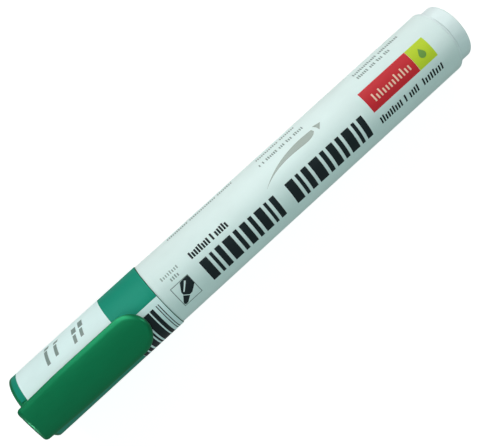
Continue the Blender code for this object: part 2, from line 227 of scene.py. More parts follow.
class Finish:
    """A Principled material whose colour, roughness and bump all vary over the surface."""

    def __init__(self, name, color, roughness):
        self.material = bpy.data.materials.new(name)
        self.material.use_nodes = True
        self.nodes = self.material.node_tree.nodes
        self.links = self.material.node_tree.links
        self.shader = self.nodes["Principled BSDF"]
        self.place = self.nodes.new("ShaderNodeTexCoord").outputs["Object"]
        self.color = color
        self.roughness = roughness
        self.height = None

    def noise(self, size, stretch=(1, 1, 1), detail=4, rough=0.55):
        """Noise whose features are about this size in metres, stretched along the axes."""
        mapping = self.nodes.new("ShaderNodeMapping")
        mapping.inputs["Scale"].default_value = [1 / (size * amount) for amount in stretch]
        self.links.new(self.place, mapping.inputs["Vector"])
        noise = self.nodes.new("ShaderNodeTexNoise")
        noise.inputs["Scale"].default_value = 1
        noise.inputs["Detail"].default_value = detail
        noise.inputs["Roughness"].default_value = rough
        self.links.new(mapping.outputs["Vector"], noise.inputs["Vector"])
        return noise.outputs["Fac"]

    def ramp(self, value, low, high, low_to=0.0, high_to=1.0):
        """Stretch the values from low to high over another range, and hold them at its ends."""
        node = self.nodes.new("ShaderNodeMapRange")
        node.inputs["From Min"].default_value = low
        node.inputs["From Max"].default_value = high
        node.inputs["To Min"].default_value = low_to
        node.inputs["To Max"].default_value = high_to
        self.links.new(value, node.inputs["Value"])
        return node.outputs["Result"]

    def tone(self, value, other, amount=1.0):
        """Mix the colour so far towards another where value is high."""
        node = self.nodes.new("ShaderNodeMix")
        node.data_type = "RGBA"
        if amount != 1.0:
            value = self.ramp(value, 0, 1, 0, amount)
        self.links.new(value, node.inputs["Factor"])
        if isinstance(self.color, tuple):
            node.inputs["A"].default_value = (*self.color, 1)
        else:
            self.links.new(self.color, node.inputs["A"])
        node.inputs["B"].default_value = (*other, 1)
        self.color = node.outputs["Result"]
        return self

    def bump(self, value, depth):
        """Add relief of this depth in metres."""
        node = self.nodes.new("ShaderNodeBump")
        node.inputs["Strength"].default_value = 1
        node.inputs["Distance"].default_value = depth
        self.links.new(value, node.inputs["Height"])
        if self.height is not None:
            self.links.new(self.height, node.inputs["Normal"])
        self.height = node.outputs["Normal"]
        return self

    def gloss(self, value, spread):
        """Let the roughness vary by this much either way."""
        self.roughness = self.ramp(value, 0.3, 0.7, self.roughness - spread, self.roughness + spread)
        return self

    def done(self, **sockets):
        """Join the colour, roughness and relief to the shader, and set its other sockets."""
        self.links.new(self.color, self.shader.inputs["Base Color"])
        if isinstance(self.roughness, float):
            self.shader.inputs["Roughness"].default_value = self.roughness
        else:
            self.links.new(self.roughness, self.shader.inputs["Roughness"])
        if self.height is not None:
            self.links.new(self.height, self.shader.inputs["Normal"])
        for name, value in sockets.items():
            self.shader.inputs[name.replace("_", " ")].default_value = value
        return self.material


def shade(color, factor):
    return tuple(channel * factor for channel in color)


def moulded(name, color, scuffed, roughness, **sockets):
    """Injection-moulded plastic: slow flow marks, a fine satin texture and faint handling scuffs."""
    finish = Finish(name, color, roughness)
    flow = finish.noise(6 * MM, (2.2, 1, 1), detail=3)
    fine = finish.noise(0.16 * MM, detail=2)
    scuff = finish.noise(0.5 * MM, (9, 1, 1), detail=5, rough=0.7)
    finish.tone(finish.ramp(flow, 0.35, 0.75), shade(color, 0.86))
    finish.tone(finish.ramp(scuff, 0.66, 0.80), scuffed, 0.35)
    finish.gloss(scuff, 0.07)
    finish.bump(flow, 0.02 * MM).bump(fine, 0.002 * MM).bump(scuff, 0.0015 * MM)
    return finish.done(**sockets)


def printed(name, color, roughness, grain=0.10, **sockets):
    """Ink or film: an uneven lay-down and slight scuffs along the barrel. Its specks are darker by
    grain, or lighter where grain is negative."""
    finish = Finish(name, color, roughness)
    lay = finish.noise(0.22 * MM, detail=3, rough=0.7)
    cloud = finish.noise(5 * MM, (2, 1, 1), detail=2)
    scuff = finish.noise(0.35 * MM, (14, 1, 1), detail=5, rough=0.7)
    finish.tone(finish.ramp(lay, 0.45, 0.8), shade(color, 1 - grain))
    finish.tone(finish.ramp(cloud, 0.35, 0.75), shade(color, 0.95))
    finish.gloss(scuff, 0.06)
    finish.bump(cloud, 0.012 * MM).bump(lay, 0.0008 * MM)
    return finish.done(**sockets)


def fibre(name, color, dark, along):
    """Bonded fibres soaked with ink, stretched this many times along the marker."""
    finish = Finish(name, color, 0.82)
    strand = finish.noise(0.09 * MM, (along, 1, 1), detail=4, rough=0.7)
    blot = finish.noise(1.6 * MM, detail=3)
    finish.tone(finish.ramp(blot, 0.35, 0.7), dark)
    finish.tone(finish.ramp(strand, 0.45, 0.72), shade(dark, 0.6), 0.7)
    finish.gloss(strand, 0.1)
    finish.bump(strand, 0.03 * MM)
    return finish.done()


GREEN = (0.001, 0.118, 0.044)
GREEN_SCUFF = (0.004, 0.28, 0.12)
GREEN_GLINT = (0.1, 1.0, 0.45, 1)
TEAL = (0.008, 0.255, 0.165)
TEAL_GLINT = (0.3, 1.0, 0.85, 1)
WHITE = (0.74, 0.87, 0.87)
WHITE_SCUFF = (0.9, 0.9, 0.9)
NATURAL = (0.66, 0.69, 0.64)
NATURAL_SCUFF = (0.8, 0.8, 0.78)
FILM_WHITE = (0.71, 0.86, 0.84)
PANEL_WHITE = (0.68, 0.87, 0.86)
BLACK = (0.006, 0.013, 0.016)
GREY = (0.19, 0.27, 0.25)
ARC_GREY = (0.26, 0.34, 0.30)
RED = (0.55, 0.012, 0.022)
CREAM = (0.80, 0.60, 0.45)
LIME = (0.50, 0.66, 0.020)
LEAF = (0.12, 0.30, 0.03)
NIB_GREEN = (0.012, 0.17, 0.075)
NIB_DARK = (0.004, 0.08, 0.035)
INK_GREEN = (0.02, 0.24, 0.12)
INK_DARK = (0.008, 0.12, 0.06)
CLEAR = (0.42, 0.60, 0.53)

green_plastic = moulded(
    "green_plastic", GREEN, GREEN_SCUFF, 0.34, Specular_IOR_Level=0.8, Specular_Tint=GREEN_GLINT
)
white_plastic = moulded("white_plastic", WHITE, WHITE_SCUFF, 0.44, Specular_IOR_Level=0.35)
natural_plastic = moulded("natural_plastic", NATURAL, NATURAL_SCUFF, 0.5)
cap_print = printed("cap_print", TEAL, 0.50, Specular_IOR_Level=0.2, Specular_Tint=TEAL_GLINT)
barrel_print = printed("barrel_print", FILM_WHITE, 0.50, grain=0.03, Specular_IOR_Level=0.2)
panel_print = printed("panel_print", PANEL_WHITE, 0.50, grain=0.03, Specular_IOR_Level=0.3)
black_print = printed("black_print", BLACK, 0.48, grain=-0.6, Specular_IOR_Level=0.15)
grey_print = printed("grey_print", GREY, 0.40, grain=0.2)
arc_print = printed("arc_print", ARC_GREY, 0.40, grain=0.15)
red_print = printed("red_print", RED, 0.48, Specular_IOR_Level=0.2)
cream_print = printed("cream_print", CREAM, 0.40)
lime_print = printed("lime_print", LIME, 0.48, Specular_IOR_Level=0.2)
leaf_print = printed("leaf_print", LEAF, 0.40)
nib_fibre = fibre("nib_fibre", NIB_GREEN, NIB_DARK, 14)
ink_fibre = fibre("ink_fibre", INK_GREEN, INK_DARK, 30)
clear_film = printed("clear_film", CLEAR, 0.25)


def placed(obj, body, slot, *nodes):
    """Ride on a CAD body and stand for CAD nodes. The slot argument is not used."""
    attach(obj, body)
    if nodes:
        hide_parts(*nodes)


# ---------------------------------------------------------------- films

SEAM = 0.08 * MM          # the visible gap between the cap's mouth and the barrel
FILM_THICK = 0.16 * MM
FILM_UNDER = 0.03 * MM    # the gap beneath a film
FILM_GAP = 0.02 * MM      # the gap between a film's end and the step of its recess
FILM_RIM = 0.02 * MM      # how far a film's outer rims are broken
CAP_FILM_FROM = CAP_END + 0.75 * MM
CAP_FILM_TO = MOUTH - 0.06 * MM
BARREL_FILM_FROM = MOUTH + SEAM + 0.12 * MM
BARREL_FILM_TO = REAR - 0.75 * MM


def film_profile(x_from, x_to, radius):
    """A thin tube whose outer rims are slightly broken."""
    inner = radius - FILM_THICK
    profile = [(x_from, inner), (x_from, radius - FILM_RIM), (x_from + 2 * FILM_RIM, radius)]
    profile += [(x_to - 2 * FILM_RIM, radius), (x_to, radius - FILM_RIM), (x_to, inner)]
    return profile


# ---------------------------------------------------------------- cap

GROOVE = SHOULDER - 3.2 * MM
SNAP_LENGTH = 1.2 * MM


def make_cap():
    """The round tube of the cap, with its snap groove, deep bore and closed end."""
    dimple = [(0.25 * MM, 0), (0.25 * MM, 0.8 * MM), (0.15 * MM, 1.15 * MM), (0, 1.3 * MM)]
    end_round = 0.3 * MM
    floor = CAP_END + 1.6 * MM
    floor_round = 0.8 * MM
    recess = CAP_R - FILM_THICK - FILM_UNDER
    mouth_drop = 0.06 * MM
    lead_in = 0.2 * MM
    groove_depth = 0.15 * MM
    profile = [(CAP_END + depth, radius) for depth, radius in dimple]
    profile += arc(CAP_END + end_round, CAP_R - end_round, end_round, 180, 90)
    profile += [(CAP_FILM_FROM - FILM_GAP, CAP_R), (CAP_FILM_FROM - FILM_GAP, recess)]
    profile += [(CAP_FILM_TO + FILM_GAP, recess), (CAP_FILM_TO + FILM_GAP, CAP_R - FILM_RIM)]
    profile += [(MOUTH, CAP_R - mouth_drop), (MOUTH, CAP_BORE + lead_in), (MOUTH - lead_in, CAP_BORE)]
    profile += ridge(GROOVE, CAP_BORE, CAP_BORE + groove_depth, SNAP_LENGTH)[::-1]
    profile += [(NECK_END - 0.3 * MM, CAP_BORE), (NECK_END - 0.6 * MM, CAP_DEEP_BORE)]
    profile += arc(floor + floor_round, CAP_DEEP_BORE - floor_round, floor_round, 90, 180, steps=5)
    profile += [(floor, 0)]
    placed(turned("cap_moulding", profile, green_plastic), "cap_body", "green_plastic", "cap_shell")


def clip_half(x):
    """Half the clip's width at x: narrower at its root, and widening until it stands 0.1 mm past
    the CAD clip's side."""
    root_inset = 0.35 * MM
    widening = 0.45 * MM
    widening_length = 12 * MM
    along = min(max((x - CLIP_ROOT) / widening_length, 0), 1)
    return CLIP_HALF - root_inset + widening * along


def plan_outline(grow, x_to):
    """The clip seen from above, with its root's corners rounded and, where it reaches the tip, a
    round tip. It is grown outwards, or drawn in where grow is negative."""
    corner = 1.0 * MM
    root = CLIP_ROOT + INSIDE
    root_half = clip_half(root)
    tip_half = clip_half(CLIP_TIP)
    if x_to >= CLIP_TIP:
        front = arc(CLIP_TIP - tip_half, 0, tip_half, -90, 90, steps=24)
    else:
        front = [(x_to, -clip_half(x_to)), (x_to, clip_half(x_to))]
    stations = [root + (15 - 2 * step) * MM for step in range(7)]
    side = [(x, clip_half(x)) for x in stations if x < front[0][0] - 1 * MM]
    back = arc(root + corner, root_half - corner, corner, 90, 180, steps=6)
    back += arc(root + corner, corner - root_half, corner, 180, 270, steps=6)
    outline = front + side + back + [(x, -y) for x, y in side[::-1]]
    return [(x - grow if x < root + corner else x, y + (grow if y > 0 else -grow)) for x, y in outline]


def plate(name, outline, low, high, top_round=0, bottom_round=0):
    """An upright prism on an outline, from low to high above the axis, its rims rounded."""
    mesh = bmesh.new()
    base = mesh.faces.new([mesh.verts.new((x, y, AXIS_Z + low)) for x, y in outline])
    raised = bmesh.ops.extrude_face_region(mesh, geom=[base])["geom"]
    top = {item for item in raised if isinstance(item, bmesh.types.BMVert)}
    bmesh.ops.translate(mesh, verts=list(top), vec=(0, 0, high - low))
    for size, inside in ((top_round, True), (bottom_round, False)):
        if not size:
            continue
        rim = []
        for edge in mesh.edges:
            first, second = edge.verts
            level = abs(first.co.z - second.co.z) < 1e-9
            if level and edge.is_manifold and (first in top) == inside and (second in top) == inside:
                rim.append(edge)
        made = bmesh.ops.bevel(mesh, geom=rim, offset=size, segments=8, profile=0.5, affect="EDGES")
        if inside:
            rounded_from = AXIS_Z + high - size * 1.01
            top = {vert for vert in mesh.verts if vert.co.z > rounded_from} | set(made["verts"])
    return link(name, mesh)


def cylinder(name, radius, x_from, x_to):
    return turned(name, [(x_from, 0), (x_from, radius), (x_to, radius), (x_to, 0)])


def make_clip():
    """The clip, its foot and the fillet round the foot as one smooth moulding, turned down at the foot."""
    crown = 0.95 * MM
    foot_inset = 0.75 * MM
    foot_top = CLIP_TOP - 0.8 * MM
    core_r = CAP_R - 0.45 * MM
    reach = 12 * MM
    clip = plate("clip_moulding", plan_outline(0, CLIP_TIP), CLIP_INNER, CLIP_TOP, 1.1 * MM, 0.2 * MM)
    foot = plate("foot", plan_outline(-foot_inset, FOOT_FRONT), 0, foot_top)
    cut(clip, foot, "UNION")
    cut(clip, cylinder("core", core_r, CLIP_ROOT - reach, FOOT_FRONT + reach), "DIFFERENCE")
    remesh = clip.modifiers.new("remesh", "REMESH")
    remesh.mode = "VOXEL"
    remesh.voxel_size = 0.12 * MM
    smooth = clip.modifiers.new("smooth", "SMOOTH")
    smooth.factor = 0.5
    smooth.iterations = 10
    bake(clip)
    for vert in clip.data.vertices:
        height = vert.co.z - AXIS_Z
        lift = min(max((height - CLIP_INNER) / (CLIP_TOP - CLIP_INNER), 0), 1)
        vert.co.z -= crown * lift * (vert.co.y / CLIP_HALF) ** 2 + INSIDE
    coat(clip, green_plastic)
    clip.data.shade_smooth()
    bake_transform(clip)
    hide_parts("pocket_clip")


def make_cap_film():
    """The teal film round the cap, slotted round the clip's foot."""
    film = turned("cap_film", film_profile(CAP_FILM_FROM, CAP_FILM_TO, CAP_R))
    half = CLIP_HALF - 0.6 * MM
    slot = bmesh.new()
    low = Vector((CLIP_ROOT, -half, AXIS_Z))
    high = Vector((FOOT_FRONT - 0.5 * MM, half, AXIS_Z + 2 * CAP_R))
    size = Matrix.Diagonal(high - low).to_4x4()
    bmesh.ops.create_cube(slot, size=1, matrix=Matrix.Translation((low + high) / 2) @ size)
    cut(film, link("slot", slot), "DIFFERENCE")
    coat(film, cap_print)
    placed(film, "cap_body", "cap_film", "cap_label")


def make_inner_cap():
    """The sealing cup inside the cap, held in it by ribs, with a bead in its mouth round the snout."""
    back = inner_box[0].x
    mouth = inner_box[1].x
    base = back + 1.0 * MM
    base_r = radius_of(inner_box)
    base_round = 0.3 * MM
    bore = 4.8 * MM
    bore_round = 0.6 * MM
    outer = 5.6 * MM
    profile = [(back, 0)]
    profile += arc(back + base_round, base_r - base_round, base_round, 180, 90, 4)
    profile += [(base, base_r), (base, outer), (mouth - 0.2 * MM, outer), (mouth, outer - 0.2 * MM)]
    profile += [(mouth, bore + 0.25 * MM), (mouth - 0.3 * MM, bore)]
    profile += ridge(mouth - 0.9 * MM, bore, bore - 0.08 * MM, 1.0 * MM)[::-1]
    profile += arc(base + bore_round, bore - bore_round, bore_round, 90, 180, 5)
    profile += [(base, 0)]
    cup = turned("inner_cap_moulding", profile, sides=FINE)
    ribs_from = back + 0.5 * MM
    ribs_to = base + 6 * MM
    cut(cup, spokes("ribs", 6, ribs_from, ribs_to, outer - 0.4 * MM, base_r - 0.3 * MM, 0.8 * MM), "UNION")
    coat(cup, natural_plastic)
    placed(cup, "inner_cap_body", "natural_plastic", "inner_cap")


# ---------------------------------------------------------------- barrel

SNAP_CLEARANCE = 0.12 * MM   # between a snap bead's top and the bore round it


def make_barrel():
    """The white tube, its neck with the snap bead, its rounded rear rim and inner ribs."""
    recess = BARREL_R - FILM_THICK - FILM_UNDER
    step = SHOULDER + 1.3 * MM
    neck_round = 0.3 * MM
    face = MOUTH + SEAM
    face_round = 0.06 * MM
    rear_round = 0.55 * MM
    profile = [(NECK_END, NECK_BORE + 0.2 * MM)]
    profile += arc(NECK_END + neck_round, NECK_R - neck_round, neck_round, 180, 90, 5)
    profile += ridge(GROOVE, NECK_R, CAP_BORE - SNAP_CLEARANCE, SNAP_LENGTH)
    profile += [(SHOULDER - 0.15 * MM, NECK_R), (SHOULDER, NECK_R + 0.15 * MM)]
    profile += [(SHOULDER, CAP_BORE + 0.3 * MM), (face, CAP_BORE + 0.35 * MM)]
    profile += arc(face + face_round, BARREL_R - face_round, face_round, 180, 90, 3)
    profile += [(BARREL_FILM_FROM - FILM_GAP, BARREL_R), (BARREL_FILM_FROM - FILM_GAP, recess)]
    profile += [(BARREL_FILM_TO + FILM_GAP, recess), (BARREL_FILM_TO + FILM_GAP, BARREL_R)]
    profile += arc(REAR - rear_round, BARREL_R - rear_round, rear_round, 90, 0)
    profile += [(REAR, BARREL_BORE + 0.1 * MM), (REAR - 0.1 * MM, BARREL_BORE)]
    profile += [(step, BARREL_BORE), (step, NECK_BORE), (NECK_END + 0.2 * MM, NECK_BORE)]
    tube = turned("barrel_moulding", profile)
    ribs_from = step - 0.6 * MM
    ribs_to = PLUG_FRONT - 0.5 * MM
    rib_top = BARREL_BORE - 0.4 * MM
    rib_root = BARREL_BORE + 0.6 * MM
    cut(tube, spokes("ribs", 6, ribs_from, ribs_to, rib_top, rib_root, 0.9 * MM), "UNION")
    coat(tube, white_plastic)
    placed(tube, "barrel_body", "white_plastic", "barrel")


def make_barrel_film():
    """The white film round the barrel, which carries its print."""
    film = turned("barrel_film", film_profile(BARREL_FILM_FROM, BARREL_FILM_TO, BARREL_R), barrel_print)
    placed(film, "barrel_body", "barrel_film", "barrel_label")


def make_tail_plug():
    """The plug: a hollow insert with a bead and cross ribs, and a head with a shallow dish."""
    head = REAR + 0.3 * MM
    head_r = radius_of(plug_box) - INSIDE
    head_edge = 0.15 * MM
    insert_r = 7.25 * MM
    bore = 6.25 * MM
    floor = TAIL_END - 1.6 * MM
    rim = 0.35 * MM
    dish = 5.2 * MM
    dish_floor = TAIL_END - 0.5 * MM
    gate_floor = TAIL_END - 0.65 * MM
    profile = [(floor, 0), (floor, bore), (PLUG_FRONT + 0.2 * MM, bore), (PLUG_FRONT, bore + 0.2 * MM)]
    profile += [(PLUG_FRONT, insert_r - 0.5 * MM), (PLUG_FRONT + 0.5 * MM, insert_r)]
    profile += ridge(REAR - 4.5 * MM, insert_r, BARREL_BORE - SNAP_CLEARANCE, SNAP_LENGTH)
    profile += [(head, insert_r), (head, head_r - head_edge), (head + head_edge, head_r)]
    profile += arc(TAIL_END - rim, head_r - rim, rim, 90, 0)
    profile += [(TAIL_END, dish + 0.25 * MM), (TAIL_END - 0.1 * MM, dish + 0.05 * MM)]
    profile += [(dish_floor, dish - 0.5 * MM), (dish_floor, 1.1 * MM)]
    profile += [(gate_floor, 0.9 * MM), (gate_floor, 0)]
    plug = turned("tail_plug_moulding", profile)
    ribs_from = PLUG_FRONT + 1 * MM
    ribs_to = floor + 0.5 * MM
    cut(plug, spokes("ribs", 4, ribs_from, ribs_to, 2.5 * MM, bore + 0.5 * MM, 0.9 * MM), "UNION")
    coat(plug, white_plastic)
    placed(plug, "plug_body", "white_plastic", "tail_plug")


# ---------------------------------------------------------------- nib and reservoir

SOCKET_R = 2.5 * MM   # the bore that the nib passes through, and its socket in the reservoir


def make_nib_holder():
    """The front section: a snout, a cone, and a flange whose edge and plug have vent slots."""
    tip = HOLDER_TIP
    back = holder_box[1].x
    flange_r = radius_of(holder_box) - INSIDE
    snout = 4.6 * MM
    nose = tip + 2.0 * MM
    cone = nose + 5.0 * MM
    flange = cone + 4.5 * MM
    seat = flange + 1.4 * MM
    plug_r = 6.2 * MM
    profile = [(tip + 0.15 * MM, SOCKET_R), (tip, SOCKET_R + 0.15 * MM)]
    profile += arc(tip + 0.4 * MM, 3.2 * MM, 0.4 * MM, 180, 110, 5)
    profile += arc(nose + 0.3 * MM, snout - 0.4 * MM, 0.4 * MM, 130, 90, 4)
    profile += [(cone - 0.3 * MM, snout), (cone + 0.2 * MM, snout + 0.12 * MM)]
    profile += [(flange - 0.3 * MM, 6.55 * MM), (flange, 6.75 * MM)]
    profile += arc(flange + 0.25 * MM, flange_r - 0.25 * MM, 0.25 * MM, 180, 90, 4)
    profile += arc(seat - 0.2 * MM, flange_r - 0.2 * MM, 0.2 * MM, 90, 0, 4)
    profile += [(seat, plug_r), (back - 1 * MM, plug_r), (back, plug_r - 1 * MM), (back, SOCKET_R)]
    holder = turned("nib_holder_moulding", profile, sides=FINE)
    vents_from = flange - 0.6 * MM
    vents_to = back + 0.3 * MM
    vent_floor = plug_r - 0.7 * MM
    cut(holder, spokes("vents", 4, vents_from, vents_to, vent_floor, 2 * flange_r, 1.2 * MM), "DIFFERENCE")
    coat(holder, white_plastic)
    placed(holder, "barrel_body", "white_plastic", "nib_holder")


def make_nib():
    """The bullet nib: a rounded writing end with a slightly flattened tip, worn a little."""
    radius = radius_of(nib_box) - INSIDE
    back = nib_box[1].x
    dome = 2.4 * MM
    steps = 14
    profile = [(NIB_TIP, 0)]
    for step in range(1, steps + 1):
        turn = math.radians(90 * step / steps)
        profile.append((NIB_TIP + dome * (1 - math.cos(turn)), radius * math.sin(turn) ** 0.9))
    profile += [(back - 1 * MM, radius), (back, radius - 0.5 * MM), (back, 0)]
    nib = turned("nib_fibre_rod", profile, nib_fibre, FINE)
    placed(nib, "barrel_body", "nib_fibre", "bullet_nib")


def make_reservoir():
    """The fibre rod that holds the ink, with the nib's socket in its front."""
    radius = radius_of(rod_box) - INSIDE
    edge = 0.4 * MM
    front = rod_box[0].x
    back = rod_box[1].x
    socket = nib_box[1].x + 0.2 * MM
    profile = [(socket, 0), (socket, SOCKET_R), (front + 0.3 * MM, SOCKET_R), (front, SOCKET_R + 0.3 * MM)]
    profile += arc(front + edge, radius - edge, edge, 180, 90, 4)
    profile += arc(back - edge, radius - edge, edge, 90, 0, 4)
    profile += [(back, 0)]
    rod = turned("reservoir_rod", profile, ink_fibre, FINE)
    placed(rod, "barrel_body", "ink_fibre", "ink_reservoir")


def make_reservoir_wrap():
    """The clear film tube round the fibre rod."""
    front = rod_box[0].x
    back = rod_box[1].x
    outer = radius_of(wrap_box) - INSIDE
    inner = outer - 0.1 * MM
    profile = [(front, inner), (front, outer), (back, outer), (back, inner)]
    wrap = turned("reservoir_wrap", profile, clear_film, FINE)
    placed(wrap, "barrel_body", "clear_film", "reservoir_sleeve")


# ---------------------------------------------------------------- print

INK_BELOW = 0.012 * MM      # an ink film starts this far inside the surface it is printed on
INK_ABOVE = 0.014 * MM      # and ends this far outside it
OVERPRINT = 2 * INK_ABOVE   # ink that lies on other ink
STRIP = 0.45 * MM           # how finely a print is cut so that it follows the curve

# Below here, print is drawn in millimetres, as print_on says.
NIB_FRAME = (2.8, -4.75, 5.4, 5.95)   # the corner, length and height of the frame round the small nib
TICK_HEIGHT = 1.05
DEGREE = CAP_R / MM * math.pi / 180   # the distance round the cap that one degree takes


def print_on(name, outlines, radius, body, slot, material, above):
    """Ink wrapped on the marker. An outline is a list of (x, y) points in millimetres: x along the
    marker from the barrel's shoulder, y the distance round it from its top, towards +Y."""
    mesh = bmesh.new()
    for outline in outlines:
        mesh.faces.new([mesh.verts.new((SHOULDER + x * MM, y * MM, 0)) for x, y in outline])
    reach = max(abs(vert.co.y) for vert in mesh.verts)
    strips = math.ceil(reach / STRIP)
    for index in range(-strips, strips + 1):
        geometry = list(mesh.verts) + list(mesh.edges) + list(mesh.faces)
        line = (0, index * STRIP, 0)
        bmesh.ops.bisect_plane(mesh, geom=geometry, dist=1e-8, plane_co=line, plane_no=(0, 1, 0))
    raised = bmesh.ops.extrude_face_region(mesh, geom=list(mesh.faces), use_keep_orig=True)["geom"]
    top = {item for item in raised if isinstance(item, bmesh.types.BMVert)}
    for vert in mesh.verts:
        turn = vert.co.y / radius
        out = radius + (above if vert in top else -INK_BELOW)
        vert.co = (vert.co.x, out * math.sin(turn), AXIS_Z + out * math.cos(turn))
    placed(link(name, mesh, material), body, slot)


def bar(x, y, length, height, slant=0.0):
    """A rectangle or, with a slant, a leaning bar; (x, y) is its corner, slant is along x."""
    return [(x, y), (x + length, y), (x + length + slant, y + height), (x + slant, y + height)]


def on_barrel(name, outlines, material, above=INK_ABOVE):
    print_on(name, outlines, BARREL_R, "barrel_body", "barrel_film", material, above)


def on_cap(name, outlines, material, above=INK_ABOVE):
    print_on(name, outlines, CAP_R, "cap_body", "cap_film", material, above)


def dashes(x_from, x_to, y, height, seed, stroke=0.34, gap=0.26, word=5):
    """A row of tiny upright ticks in word-like groups, as small print looks from a distance."""
    made = []
    x = x_from
    count = 0
    while x + stroke < x_to:
        turn = (seed * 7 + count * 5) % 4
        tall = height * (0.72 + 0.07 * turn)
        made.append(bar(x, y, stroke, tall))
        count += 1
        x += stroke + gap + (gap * 2.2 if (count + seed) % (word + turn % 2) == 0 else 0)
    return made


def frame_outline(x, y, length, height, line):
    """The four sides of a thin rectangular outline."""
    return [
        bar(x, y, length, line),
        bar(x, y + height - line, length, line),
        bar(x, y + line, line, height - 2 * line),
        bar(x + length - line, y + line, line, height - 2 * line),
    ]


def bold_row(x_from, x_to):
    """Heavy upright bars in a repeating rhythm of widths, which fills the length exactly."""
    low = -4.85
    tall = 6.2
    widths = (1.2, 2.3, 0.9, 1.6, 2.6, 1.2, 1.9)
    gap = 0.85
    ends = [0.0]
    while ends[-1] < x_to - x_from:
        ends.append(ends[-1] + widths[len(ends) % len(widths)] + gap)
    fit = (x_to - x_from + gap) / ends[-1]
    return [bar(x_from + fit * a, low, fit * (b - a) - gap, tall) for a, b in zip(ends, ends[1:])]


def down_frame(points):
    """Points given along and across the small frame's diagonal, from its rear upper corner."""
    left, low, length, height = NIB_FRAME
    diagonal = math.hypot(length, height)
    way_x = -length / diagonal
    way_y = -height / diagonal
    outline = []
    for down, aside in points:
        x = left + length + down * way_x - aside * way_y
        y = low + height + down * way_y + aside * way_x
        outline.append((x, y))
    return outline


def crescent(start, top, end, thick):
    """A tapered arc through three points, thickest near its end."""
    steps = 20
    upper = []
    lower = []
    for step in range(steps + 1):
        t = step / steps
        x = (1 - t) ** 2 * start[0] + 2 * t * (1 - t) * top[0] + t * t * end[0]
        y = (1 - t) ** 2 * start[1] + 2 * t * (1 - t) * top[1] + t * t * end[1]
        width = thick * t ** 1.4 * (1 - 0.75 * t ** 8) + 0.03
        upper.append((x, y))
        lower.append((x + 0.35 * width, y - width))
    return upper + lower[::-1]


def print_black_rows():
    """Plain bars with the weight and rhythm of the barrel's black rows."""
    on_barrel("bold_bars_front", bold_row(11.9, 35.2), black_print)
    on_barrel("bold_bars_rear", bold_row(38.8, 63.5), black_print)
    small = dashes(11.3, 23.3, 2.95, 1.9, 1, stroke=0.52, gap=0.24, word=9)
    on_barrel("small_bars", small, black_print)
    slim = dashes(66.8, 79.7, -4.3, 2.2, 2, stroke=0.46, gap=0.34, word=11)
    slim += dashes(80.8, 87.6, -4.3, 2.2, 5, stroke=0.46, gap=0.40, word=12)
    on_barrel("slim_bars", slim, black_print)


def print_grey_rows():
    """Rows of small ticks beside the bars, and two blocks of them on the barrel's back."""
    grey = dashes(2.7, 8.3, 3.75, 1.0, 1, stroke=0.36, gap=0.30, word=9)
    grey += dashes(4.4, 6.9, 2.25, 1.0, 3, stroke=0.36, gap=0.30, word=9)
    grey += dashes(37.8, 51.9, 9.0, 1.1, 4, word=5)
    grey += dashes(38.4, 51.0, 11.8, 1.0, 2, word=6)
    grey += dashes(9.9, 30.6, 12.3, 1.1, 3, word=6)
    grey += dashes(69.8, 80.6, 8.7, 1.1, 6, word=5)
    grey += dashes(69.9, 84.9, 10.7, 1.1, 1, word=6)
    block_low = 15.2
    row_pitch = 1.9
    for row in range(6):
        row_end = 44.0 - 2.5 * (row % 3)
        grey += dashes(9.9, row_end, block_low + row_pitch * row, TICK_HEIGHT, row, word=5 + row % 2)
    for row in range(4):
        row_end = 84.0 - 3 * (row % 2)
        grey += dashes(52.0, row_end, block_low + row_pitch * row, TICK_HEIGHT, row + 2, word=5)
    on_barrel("tick_rows", grey, grey_print)


def print_nib_sign():
    """A small frame with a plain bullet nib that points into its lower front corner."""
    on_barrel("nib_frame", frame_outline(*NIB_FRAME, line=0.2), grey_print)
    body_side = [(0.9, 0.75), (2.0, 1.75), (4.3, 1.35), (4.9, 0.8)]
    tip_side = [(5.1, 0.85), (6.9, 0.6), (7.4, 0.25)]
    body = [(0.15, 0)] + body_side + [(down, -aside) for down, aside in body_side[::-1]]
    tip = tip_side + [(down, -aside) for down, aside in tip_side[::-1]]
    on_barrel("nib_pictogram", [down_frame(body), down_frame(tip)], black_print)
    gleam = [(1.5, -0.75), (4.2, -0.85), (4.2, -0.55), (1.5, -0.35)]
    on_barrel("nib_gleam", [down_frame(gleam)], barrel_print, above=OVERPRINT)


def print_grey_arc():
    """A tapered grey arc with a separate tip."""
    on_barrel("grey_arc", [crescent((35.2, 3.3), (43.0, 8.0), (52.6, 6.9), 3.0)], arc_print)
    on_barrel("grey_arc_tip", [[(53.3, 7.4), (55.5, 6.9), (54.1, 5.5), (53.9, 6.5)]], arc_print)


def print_colour_panel():
    """A red panel with pale bars, and a lime square with a plain drop."""
    low = -0.45
    tall = 6.0
    on_barrel("red_panel", [bar(66.45, low, 15.3, tall)], red_print)
    on_barrel("lime_square", [bar(81.8, low, 5.7, tall)], lime_print)
    wave = []
    for index in range(12):
        height = 2.1 if (index * 5) % 7 in (0, 3) else 1.35
        wave.append(bar(68.6 + 1.02 * index, 1.25, 0.42, height))
    on_barrel("pale_bars", wave, cream_print, above=OVERPRINT)
    centre = 84.65
    drop = [(centre, 3.95)] + arc(centre, 2.2, 0.95, 30, -210, steps=16)
    on_barrel("ink_drop", [drop], leaf_print, above=OVERPRINT)


